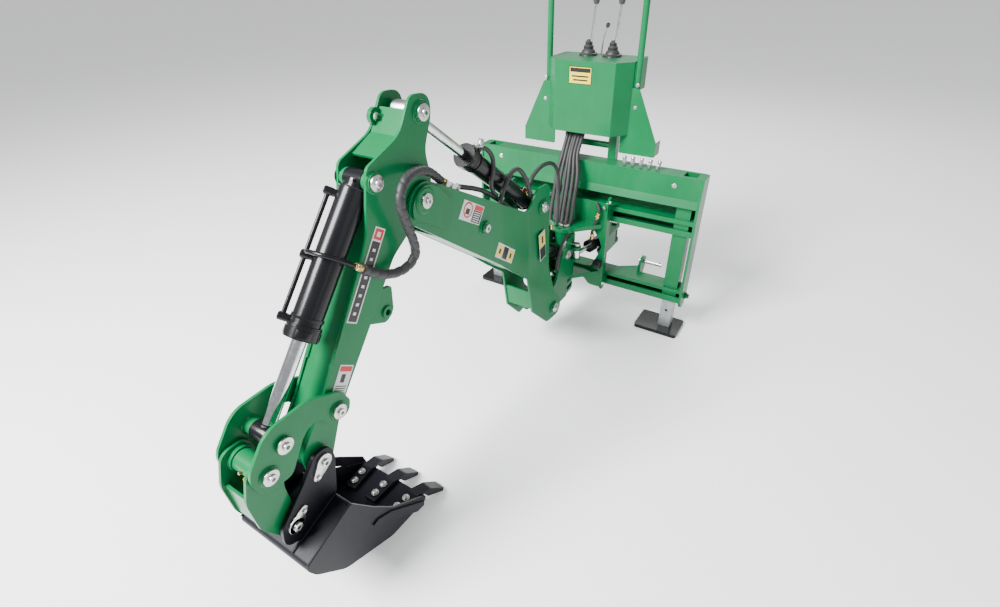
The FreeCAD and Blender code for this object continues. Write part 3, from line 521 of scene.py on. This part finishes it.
def route_line(name, points, steps):
    """A smooth curve through the route, with no thickness yet."""
    data = bpy.data.curves.new(name, "CURVE")
    data.dimensions = "3D"
    spline = data.splines.new("NURBS")
    spline.points.add(len(points) - 1)
    for target, point in zip(spline.points, points):
        target.co = (*point, 1.0)
    spline.order_u = 3
    spline.use_endpoint_u = True
    spline.resolution_u = steps
    line = bpy.data.objects.new(name, data)
    bpy.context.scene.collection.objects.link(line)
    return line


def thicken(line, diameter, capped):
    line.data.bevel_depth = diameter / 2
    line.data.bevel_resolution = ring_points // 2 - 2
    line.data.use_fill_caps = capped


def tube_mesh(line):
    """The curve's tube as a mesh with its ends closed; the curve goes."""
    bpy.context.view_layer.update()
    mesh = bpy.data.meshes.new_from_object(line)
    bpy.data.objects.remove(line)
    bm = bmesh.new()
    bm.from_mesh(mesh)
    bmesh.ops.holes_fill(bm, edges=bm.edges, sides=0)
    bm.to_mesh(mesh)
    bm.free()
    mesh.polygons.foreach_set("use_smooth", [True] * len(mesh.polygons))
    return mesh


def wind(mesh, path, pitch):
    """Winds a spiral guard round a tube: a groove of the given pitch between flat turns."""
    run = 0.0
    for k, centre in enumerate(path):
        run += (centre - path[k - 1]).length if k else 0.0
        for j in range(ring_points):
            vert = mesh.vertices[k * ring_points + j]
            step = (run / pitch + j / ring_points) % 1.0
            swell = 1.06 - 0.14 * max(0.0, 1 - abs(step - 0.5) * 5)
            vert.co = centre + (vert.co - centre) * swell


def hose(name, points, diameter, body, other=None, pitch=0.0):
    """A hose between two fittings that rides on the body; where another body is given, it is made a fixed
    mesh and rides on neither.
    """
    line = route_line(name, points, 24 if pitch else 10)
    bpy.context.view_layer.update()
    thread = bpy.data.meshes.new_from_object(line)
    path = [vert.co.copy() for vert in thread.vertices]
    bpy.data.meshes.remove(thread)
    thicken(line, diameter, not other)
    made = line
    if other:
        mesh = tube_mesh(line)
        if pitch:
            wind(mesh, path, pitch)
        made = bpy.data.objects.new(name, mesh)
        bpy.context.scene.collection.objects.link(made)
    made.data.materials.append(rubber)
    if other:
        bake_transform(made)
    else:
        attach(made, body)


# Hose from the block on the boom over the elbow to the bucket cylinder, in a spiral guard
elbow_run = [at(*p) for p in (
    (30, -1128, 1112), (42, -1170, 1146), (62, -1232, 1184), (86, -1300, 1204), (101, -1352, 1205),
    (107, -1384, 1184), (108, -1397, 1156), (108, -1394, 1124), (106, -1381, 1088), (104, -1368, 1050),
    (102, -1356, 1014), (99, -1350, 972), (94, -1384, 944), (86, -1440, 944), (79, -1500, 975),
    (73, -1532, 1004))]
hose("elbow_hose", elbow_run, 0.027, "boom", "dipper", 0.030)

# Second hose of the block, the dipper cylinder's own, the hump over the boom, and the one to the swing post
arm_hoses = [
    # name, diameter in metres, bodies, route
    ("block_hose", 0.018, ("boom",),
     ((30, -1040, 1062), (30, -1000, 1046), (30, -946, 1024), (26, -880, 990), (30, -800, 930),
      (38, -720, 866), (44, -650, 790), (47, -620, 735))),
    ("gland_hose", 0.016, ("dipper_barrel",),
     ((20, -905, 1148), (22, -880, 1150), (28, -852, 1132), (38, -838, 1100), (44, -850, 1060),
      (40, -862, 1020), (36, -852, 985), (34, -820, 955))),
    ("hump_hose", 0.018, ("boom",),
     ((50, -592, 880), (50, -618, 945), (50, -660, 1000), (50, -702, 1026), (50, -742, 1020),
      (50, -776, 992), (50, -806, 960), (50, -822, 926))),
    ("base_hose", 0.018, ("boom", "swing_post"),
     ((30, -578, 896), (30, -560, 930), (24, -500, 950), (14, -410, 952), (4, -310, 925), (-4, -244, 860),
      (-10, -222, 760), (-12, -216, 660), (-14, -218, 575))),
]
for name, diameter, bodies, route in arm_hoses:
    hose(name, [at(*p) for p in route], diameter, *bodies)

# The flat bundle from under the tower to the carriage's upper lug; it fans out on its way down
bundle_count = 6
for k in range(bundle_count):
    low = -92 + 22.5 * k
    high = -88 + 15 * k
    lag = (k % 3) * 5
    route = ((high, 60, 1010), (high, 34, 985), (high, 4, 940), (high * 0.95, -40, 880),
             (low * 0.9 + high * 0.1, -78, 800), (low * 0.96, -104, 710), (low, -122, 640), (low, -134, 585),
             (low * 0.96, -142, 562))
    hose(f"bundle_hose_{k + 1}", [at(x, y + lag, z) for x, y, z in route], 0.019, "frame", "carriage")

# Two short hoses on the swing post
for x, name in ((-52, "left"), (52, "right")):
    route = ((0.85, -186, 512), (0.9, -200, 530), (1, -222, 545), (1.02, -262, 540), (1.05, -300, 505),
             (1.05, -322, 455), (1.05, -330, 400))
    hose(f"post_hose_{name}", [at(x * share, y, z) for share, y, z in route], 0.016, "swing_post")

# Short hoses of the swing cylinders
for side, name in ((1, "right"), (-1, "left")):
    route = ((112, -64, 492), (116, -68, 520), (126, -72, 560), (138, -74, 600), (146, -72, 630),
             (140, -66, 655), (122, -62, 668))
    hose(f"swing_hose_{name}", [at(side * x, y, z) for x, y, z in route], 0.015, "carriage")

# ---------------------------------------------------------------- pins, washers and bosses

pin_radius = 15
pin_ends = 14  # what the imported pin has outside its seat: washer and bolt head
keeper_reach = 44  # from a keeper plate's pin to its bolt
pin_washer = shape(washer, 23, 12, 6)
pin_head = shape(socket_head, 12.5, 9, 6.4)
foot_head = shape(socket_head, 14, 9.5, 6.6)
big_head = shape(socket_head, 15, 10, 7.5)
cover_washer = shape(washer, 23.8, 0.5, 6.6)
inner_ring = shape(washer, 17.5, 11, 1.2)
keeper = shape(teardrop, 25, 13, 46, 6)
small_bolt = shape(hex_head, 9, 8)
tiny_bolt = shape(hex_head, 6.5, 6)
ear_line = (at(0, *link_foot) - at(0, *bucket_pivot)).normalized()

for node, body, pin in (
        ("foot_pin", "boom", foot), ("dipper_base_pin", "boom", dipper_base), ("elbow_pin", "boom", elbow),
        ("boom_base_pin", "swing_post", boom_base), ("bucket_base_pin", "dipper", bucket_base),
        ("rocker_pin", "rocker", rocker_pivot), ("link_pin", "rocker", link_top),
        ("bucket_pin", "bucket", bucket_pivot)):
    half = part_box(node)[1][0] / MM - pin_ends
    kit = Kit().set(shape(bar, pin_radius, -half - 1, half + 1), at(0, *pin))
    for side in (-1, 1):
        face = at(side * half, *pin)
        out = X * side
        if node == "bucket_pin":
            kit.set(keeper, face, out, ear_line)
            kit.set(pin_head, face + out * 5.6 * MM, out)
            kit.set(tiny_bolt, face + (out * 5.8 + ear_line * keeper_reach) * MM, out)
        else:
            kit.set(pin_washer, face, out)
            kit.set(inner_ring, face + out * 5.5 * MM, out)
            kit.set(pin_head, face + out * 4.6 * MM, out, (0, 1, 0.3 * side))
    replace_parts(kit.piece(node + "_turned", zinc, body, "zinc"), node)

# Caps over the short pin ends of the open pivots
cap_rows = [
    # body, shape, from the centre plane, pin
    ("boom", big_head, 78, boom_eye),
    ("dipper", cover_washer, 64, dipper_top),
    ("dipper", pin_head, 69.5, dipper_top),
    ("rocker", cover_washer, 78, rod_eye),
    ("rocker", pin_head, 83.5, rod_eye),
    ("bucket", foot_head, 83.6, link_foot),
]
caps = {"boom": Kit(), "dipper": Kit(), "rocker": Kit(), "bucket": Kit()}
for side in (-1, 1):
    out = X * side
    for body, mesh, x, pin in cap_rows:
        caps[body].set(mesh, at(side * x, *pin), out)
    caps["bucket"].set(keeper, at(side * ear_face, *link_foot), out, -ear_line)
    caps["bucket"].set(tiny_bolt, at(side * 83.8, *link_foot) - ear_line * keeper_reach * MM, out)
for body, kit in caps.items():
    kit.piece(f"{body}_pin_caps", zinc, body, "zinc")

# Welds: rings round the bosses, then straight seams
weld_rings = [
    # body, radius, width, from the centre plane, pin, 1 where the weld faces out
    ("boom", 29, 5, 89, foot, 1), ("boom", 29, 5, 78.3, dipper_base, 1), ("boom", 36, 6, 77, elbow, 1),
    ("boom", 24, 4, boom_face, boom_eye, 1), ("dipper", 29, 5, dipper_face, dipper_top, 1),
    ("dipper", 27, 5, dipper_face, bucket_base, 1), ("rocker", 26, 4, rocker_face, rocker_pivot, 1),
    ("rocker", 26, 4, rocker_face, link_top, 1), ("rocker", 24, 4, 62, rod_eye, -1),
    ("link", 32, 5, link_in, link_top, -1),
]
weld_seams = [
    # body, radius, from the centre plane, start, end
    ("boom", 4.5, 58.2, (-1120, 1083), (-655, 825)),
    ("boom", 3.5, 70, (-1196, 1124), (-1140, 1064)),
    ("boom", 3.5, 70, (-1140, 1060), (-1158, 1012)),
    ("boom", 3.5, 70, (-1156, 1008), (-1148, 966)),
    ("dipper", 4, 46, (-1264, 1352), (-1312, 1292)),
    ("dipper", 4, 46, (-1314, 1291), (-1390, 1256)),
    ("dipper", 4, 46, (-1520, 1000), (-1690, 760)),
    ("bucket", 5, 72, (-1800, 374), (-1900, 340)),
    ("bucket", 5, 80, (-1800, 374), (-1980, 308)),
    ("bucket", 4, 148, (-1806, 376), (-1984, 308)),
]
welds = {"boom": Kit(), "dipper": Kit(), "rocker": Kit(), "bucket": Kit(), "link": Kit()}
for side in (-1, 1):
    for body, radius, width, x, pin, way in weld_rings:
        welds[body].set(shape(bead_ring, radius, width), at(side * x, *pin), X * side * way)
    for body, radius, x, start, end in weld_seams:
        line = at(side * x, *end) - at(side * x, *start)
        welds[body].set(shape(bead, line.length / MM, radius), at(side * x, *start), line)
for body, kit in welds.items():
    finish, slot = (shovel_paint, "bucket_paint") if body == "bucket" else (green, "green_paint")
    kit.piece(f"{body}_welds", finish, body, slot, 60)

# ---------------------------------------------------------------- cylinders


def collar(bm, radius):
    """Gland nut: a grooved ring with four flats for the wrench, and the wiper's lip."""
    turned(bm, [(radius * 0.62, 0), (radius, 0), (radius, 6), (radius - 2, 7), (radius - 2, 9),
                (radius + 1.5, 10), (radius + 1.5, 30), (radius, 32), (radius - 4, 33), (radius * 0.56, 34.5),
                (radius * 0.56, 33), (radius * 0.62, 0)], 48)
    for vert in bm.verts:
        reach = math.hypot(vert.co.x, vert.co.y)
        if vert.co.z > 9.5 and reach > radius * 0.8:
            turn = math.atan2(vert.co.y, vert.co.x) % (math.pi / 2) - math.pi / 4
            limit = radius * 0.93 / max(0.1, math.cos(turn))
            if limit < reach:
                scale_across(vert, limit / reach)


def dress(name, base, tip, radius, long):
    """The gland, end ring and base weld of a cylinder of the arm."""
    start = at(0, *base)
    line = (at(0, *tip) - start).normalized()
    kit = Kit()
    for mesh, along in ((shape(collar, radius + 6), long - 36), (shape(bead_ring, radius - 1, 4), 31),
                        (shape(washer, radius + 3, radius - 2, 9), long - 62)):
        kit.set(mesh, start + line * along * MM, line)
    kit.piece(name + "_gland", black, name, "black_paint", fine_crease)
    return start, line, X.cross(line) * -1


dipper_ram = dress("dipper_barrel", dipper_base, dipper_top, 37, 534)
dress("boom_barrel", boom_base, boom_eye, 37, 600)
bucket_ram = dress("bucket_barrel", bucket_base, rod_eye, 41, 450)


def beside(ram, along, x, out):
    """A place by a cylinder: along its line, across the machine, and out from its back."""
    start, line, back = ram
    return start + (line * along + X * x + back * out) * MM


# Steel pipe along the bucket cylinder and across it to the elbow hose
boss = shape(port_boss)
hose_nut = shape(nut)
_, pipe_line, pipe_back = bucket_ram
leaning = X * -0.75 + pipe_back * 0.66
pipe_kit = Kit()
for along in (58, 236, 408):
    pipe_kit.set(boss, beside(bucket_ram, along, -30, 26), leaning)
    pipe_kit.set(shape(bar, 12, 0, 26, 3), beside(bucket_ram, along, -36, 31), leaning)
pipe_kit.set(shape(bar, 6.5, 0, 350), beside(bucket_ram, 58, -46, 40), pipe_line)


def pipe(name, points, diameter, body, finish):
    """A bent steel pipe or rod."""
    made = route_line(name, points, 12)
    thicken(made, diameter, True)
    made.data.materials.append(finish)
    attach(made, body)


cross_run = [(230, -46, 40), (228, -30, 56), (226, 0, 62), (224, 36, 56), (222, 58, 34), (222, 68, 0),
             (222, 70, -24)]
pipe("cross_pipe", [beside(bucket_ram, *p) for p in cross_run], 0.013, "bucket_barrel", black)
hose_way = (elbow_run[-1] - elbow_run[-2]).normalized()
nipple = shape(bar, 4, 0, 7, 1)
Kit().set(nipple, beside(bucket_ram, 12, 14, 30), pipe_back).piece(
    "bucket_cylinder_nipple", zinc, "bucket_barrel", "zinc")
Kit().set(hose_nut, elbow_run[-1] + hose_way * 30 * MM, -hose_way).piece(
    "pipe_end_nut", brass, "bucket_barrel", "zinc")
pipe_kit.piece("bucket_cylinder_pipe", black, "bucket_barrel", "black_paint", fine_crease)

# Ports of the dipper cylinder and the fittings of its hoses
dipper_back = dipper_ram[2]
kit = Kit()
for along, x in ((88, 16), (484, 14)):
    kit.set(boss, beside(dipper_ram, along, x, 33), dipper_back)
kit.piece("dipper_cylinder_ports", black, "dipper_barrel", "black_paint", fine_crease)
kit = Kit().set(hose_nut, beside(dipper_ram, 484, 14, 43), dipper_back)
kit.set(hose_nut, at(14, -916, 1160), (0.2, 1, -0.15))
kit.piece("dipper_cylinder_nuts", zinc, "dipper_barrel", "zinc")

# Fittings and screws of the block on the boom
boom_slope = (0, 0.874, -0.486)
kit = Kit().set(hose_nut, at(30, -1098, 1094), (0.1, -0.8, 0.6))
kit.set(hose_nut, at(30, -586, 872), (0, 0.15, 1))
kit.piece("boom_brass_nuts", brass, "boom", "zinc")
kit = Kit().set(hose_nut, at(30, -1068, 1078), boom_slope)
for y, z in ((-1092, 1080), (-1060, 1062)):
    kit.set(shape(hex_head, 5, 5), at(44.5, y, z), X)
kit.piece("boom_steel_nuts", zinc, "boom", "zinc")

# Eyes of the cylinders' rods: bushes, a nipple and the welded neck
eye_bore = 15.6
for body, pin, tip, radius, half in (("bucket_rod", rod_eye, bucket_base, 24, 32),
                                     ("boom_rod", boom_eye, boom_base, 24, 30)):
    line = (at(0, *tip) - at(0, *pin)).normalized()
    kit = Kit().set(shape(washer, radius + 2.5, eye_bore, half * 2), at(-half, *pin), X)
    kit.set(shape(bead_ring, 19, 4), at(0, *pin) + line * (radius - 1) * MM, line)
    kit.piece(body + "_eye", black, body, "black_paint", fine_crease)
Kit().set(shape(bar, 3.6, 0, 6, 1), at(10, rod_eye[0] + 10, rod_eye[1] - 24), (0, 0.35, -0.94)).piece(
    "rod_eye_nipple", zinc, "bucket_rod", "zinc")
Kit().set(shape(washer, 26.5, eye_bore, 60), at(-30, *dipper_top), X).piece(
    "dipper_rod_eye", steel, "dipper_rod", "chrome", fine_crease)

# Nipple and orange cap of the big sleeve between the rockers
Kit().set(shape(bar, 8, 0, 11, 3), at(6, link_top[0] - 24, link_top[1] - 23), (0, -0.75, -0.66)).piece(
    "sleeve_cap", orange, "link", "knob")
Kit().set(shape(bar, 4, 0, 9, 1), at(6, link_top[0] - 31, link_top[1] + 6), (0, -1, 0.2)).piece(
    "sleeve_nipple", brass, "link", "zinc")

# ---------------------------------------------------------------- labels without words

proud = 0.1  # label's base above the plate


def label(name, body, x, corner, wide, high, patches):
    """A printed sticker on a side plate; patches are (u0, u1, v0, v1, finish, rise), u and v in shares."""
    groups = {}
    for u0, u1, v0, v1, finish, rise in [(0, 1, 0, 1, label_white, 0.5)] + patches:
        groups.setdefault(finish, []).append((((u0, v0), (u1, v0), (u1, v1), (u0, v1)), rise))
    for index, (finish, quads) in enumerate(groups.items()):
        kit = Kit()
        for rim, rise in quads:
            bm = bmesh.new()
            raised(bm, [(0, corner[0] + wide[0] * u + high[0] * v, corner[1] + wide[1] * u + high[1] * v)
                        for u, v in rim], X * rise)
            mesh = bpy.data.meshes.new("patch")
            bm.to_mesh(mesh)
            bm.free()
            kit.add(mesh, Matrix.Translation(at(x, 0, 0)) @ Matrix.Scale(MM, 4))
        kit.piece(f"{name}_{index}", finish, body, "knob")


def lines_of_print(u0, u1, v0, v1, rows, finish):
    """Plain bars where small print would be, each a little shorter than the last."""
    step = (v1 - v0) / rows
    return [(u0, u1 - (k % 3) * 0.05 * (u1 - u0), v0 + step * (k + 0.3), v0 + step * (k + 0.7), finish, 0.9)
            for k in range(rows)]


label("boom_label", "boom", boom_face + proud, (-1061, 1033), (111, -68), (-40, -54),
      [(0.56, 0.97, 0.05, 0.30, label_red, 0.8), (0.56, 0.97, 0.32, 0.95, label_black, 0.8)]
      + lines_of_print(0.60, 0.93, 0.36, 0.92, 5, label_white) + [(0.20, 0.38, 0.36, 0.66, label_black, 0.8)])
sign_radius = 27
Kit().set(shape(washer, sign_radius, sign_radius * 0.80, 0.5), at(boom_face + 0.7, -1046, 990), X).piece(
    "boom_label_ring", label_red, "boom", "knob")
label("boom_warning", "boom", boom_face + proud, (-864, 790), (116, -86), (-32, -47),
      [(0.04, 0.32, 0.15, 0.88, label_yellow, 0.8), (0.36, 0.64, 0.08, 0.92, label_black, 0.8),
       (0.68, 0.96, 0.15, 0.88, label_yellow, 0.8), (0.13, 0.23, 0.35, 0.7, label_black, 1.0),
       (0.77, 0.87, 0.35, 0.7, label_black, 1.0)])
label("foot_label", "boom", foot_face, (-580, 700), (52, 10), (18, -136),
      [(0.08, 0.92, 0.04, 0.50, label_yellow, 2.2), (0.08, 0.92, 0.54, 0.96, label_black, 2.2),
       (0.36, 0.66, 0.14, 0.40, label_black, 2.4)])
label("dipper_strip", "dipper", dipper_face + proud, (-1447, 1091), (33, -23), (-164, -222),
      [(0.10, 0.90, 0.015, 0.125, label_red, 0.8), (0.10, 0.90, 0.145, 0.985, label_black, 0.8)]
      + [(0.36, 0.64, 0.22 + 0.095 * k, 0.25 + 0.095 * k, label_white, 0.9) for k in range(8)]
      + [(0.32, 0.68, 0.045, 0.095, label_white, 0.9)])
label("dipper_plate_label", "dipper", dipper_face + proud, (-1660, 756), (42, -31), (-58, -78),
      [(0.06, 0.94, 0.04, 0.20, label_red, 0.8)] + lines_of_print(0.1, 0.9, 0.62, 0.97, 5, label_black)
      + [(0.3, 0.62, 0.28, 0.54, label_black, 0.8)])

# ---------------------------------------------------------------- bucket: tooth bolts and side cutters

tooth_fan = 7.5
tooth_pitch = 105
tooth_bolt = shape(hex_head, 10.5, 9)
kit = Kit()
for k in (-1, 0, 1):
    for y in (30, -12):
        fan = Matrix.Rotation(math.radians(-tooth_fan * k), 4, "Z")
        spot = fan @ Vector((0, y, 0)) + Vector((tooth_pitch * k, -1600, 0))
        kit.set(tooth_bolt, at(spot.x, spot.y, 99.5), UP)
kit.piece("tooth_bolts", zinc, "bucket", "zinc")
cutter = shape(plate, [(0, 0), (190, 8), (250, 26), (262, 44), (150, 42), (20, 36), (-10, 16)], 6, 1.5)
kit = Kit()
for side in (-1, 1):
    kit.set(cutter, at(side * 150, -1530, 66), X * side, Vector((0, -211, 190)).normalized())
kit.piece("side_cutters", shovel_paint, "bucket", "bucket_paint", fine_crease)

# ---------------------------------------------------------------- frame, carriage and tower fastenings

kit = Kit()
for x in (-470, 470):
    kit.set(small_bolt, at(x, 0, 800), OUT)
for x, y, z, axis in ((230, 41, 1207, OUT), (230, 41, 1110, OUT), (213, 61, 1270, X), (213, 61, 1200, X)):
    kit.set(tiny_bolt, at(x, y, z), axis)
    kit.set(tiny_bolt, at(-x, y, z), -X if axis is X else OUT)
for x in (-92, 144):
    for z in (745, 825):
        kit.set(small_bolt, at(x, 92, z), OUT)
kit.piece("frame_bolts", zinc, "frame", "zinc")
kit = Kit()
for side in (-1, 1):
    for z in (676, 214):
        kit.set(small_bolt, at(side * 186, -44, z), X * side)
    kit.set(shape(bar, 7, 0, 26), at(side * 170, -50, 655), OUT)
kit.set(shape(washer, 30, 19, 6), at(0, -150, 565), UP)
kit.piece("carriage_bolts", zinc, "carriage", "zinc")

# Zinc pins and their keeper bars on the swing cylinders' eyes
swing_cap = shape(bar, 16, -1, 6)
kit = Kit()
for side in (-1, 1):
    spot = at(side * 84, -176, 477)
    kit.set(swing_cap, spot, UP)
    kit.set(shape(teardrop, 15, 9, 40, 5), spot + UP * 5 * MM, UP, (-side, -0.2, 0))
    kit.set(tiny_bolt, spot + Vector((-side * 38, -8, 10)) * MM, UP)
kit.piece("swing_rod_pins", zinc, "swing_post", "zinc")
kit = Kit()
for side in (-1, 1):
    kit.set(swing_cap, at(side * 150, 150, 484), UP)
kit.piece("swing_base_pins", zinc, "carriage", "zinc")

# Brass nuts of the swing hoses, and the black lock valve by the carriage's plate
kit = Kit()
for side in (-1, 1):
    kit.set(hose_nut, at(side * 112, -62, 466), (0.1 * side, -0.1, 1))
    kit.set(hose_nut, at(side * 134, -74, 590), (0.3 * side, 0, 1))
kit.piece("swing_hose_nuts", brass, "carriage", "zinc")
kit = Kit()
kit.set(shape(plate, [(-20, -17), (20, -17), (20, 17), (-20, 17)], 34, 3), at(158, -50, 336), OUT, X)
kit.set(shape(hex_head, 10, 10), at(158, -84, 336), OUT)
kit.piece("lock_valve", casting, "carriage", "rubber", fine_crease)

# The tower's yellow label without words; the badge's and the number's places stay bare
tower_front = -30
for name, x, z, wide, high, finish, rise in (
        ("tower_label_edge", -18, 1240, 112, 74, label_black, 0.5),
        ("tower_label", -18, 1240, 106, 68, label_yellow, 0.8),
        ("tower_label_head", -18, 1262, 100, 18, label_black, 1.0),
        ("tower_label_line_0", -18, 1236, 84, 7, label_black, 1.0),
        ("tower_label_line_1", -16, 1220, 72, 7, label_black, 1.0)):
    rim = [(-wide / 2, -high / 2), (wide / 2, -high / 2), (wide / 2, high / 2), (-wide / 2, high / 2)]
    Kit().set(shape(plate, rim, rise), at(x, tower_front, z), OUT, X).piece(name, finish, "frame", "knob")

# Flanges of the levers' boots, and a third, thin lever between them
kit = Kit()
for x in (-60, 60):
    kit.set(shape(washer, 44, 20, 3), at(x, 139, 1300), UP)
kit.piece("boot_flanges", plastic, "frame", "knob")
thin_run = [(0, 150, 1296), (2, 150, 1330), (8, 148, 1380), (22, 144, 1420)]
pipe("thin_lever", [at(*p) for p in thin_run], 0.008, "frame", steel)
Kit().set(shape(bar, 9, 0, 22, 5), at(22, 144, 1416), (0.3, 0, 1)).piece(
    "thin_lever_knob", plastic, "frame", "knob")

# Fittings in a row beside the tower, on the top beam
port_pitch = 40
kit = Kit()
for k in range(5):
    kit.set(hose_nut, at(212 + port_pitch * k, 34, 854), (0.1 * (k - 2), 0.2, 1))
kit.piece("port_row", steel, "frame", "zinc")
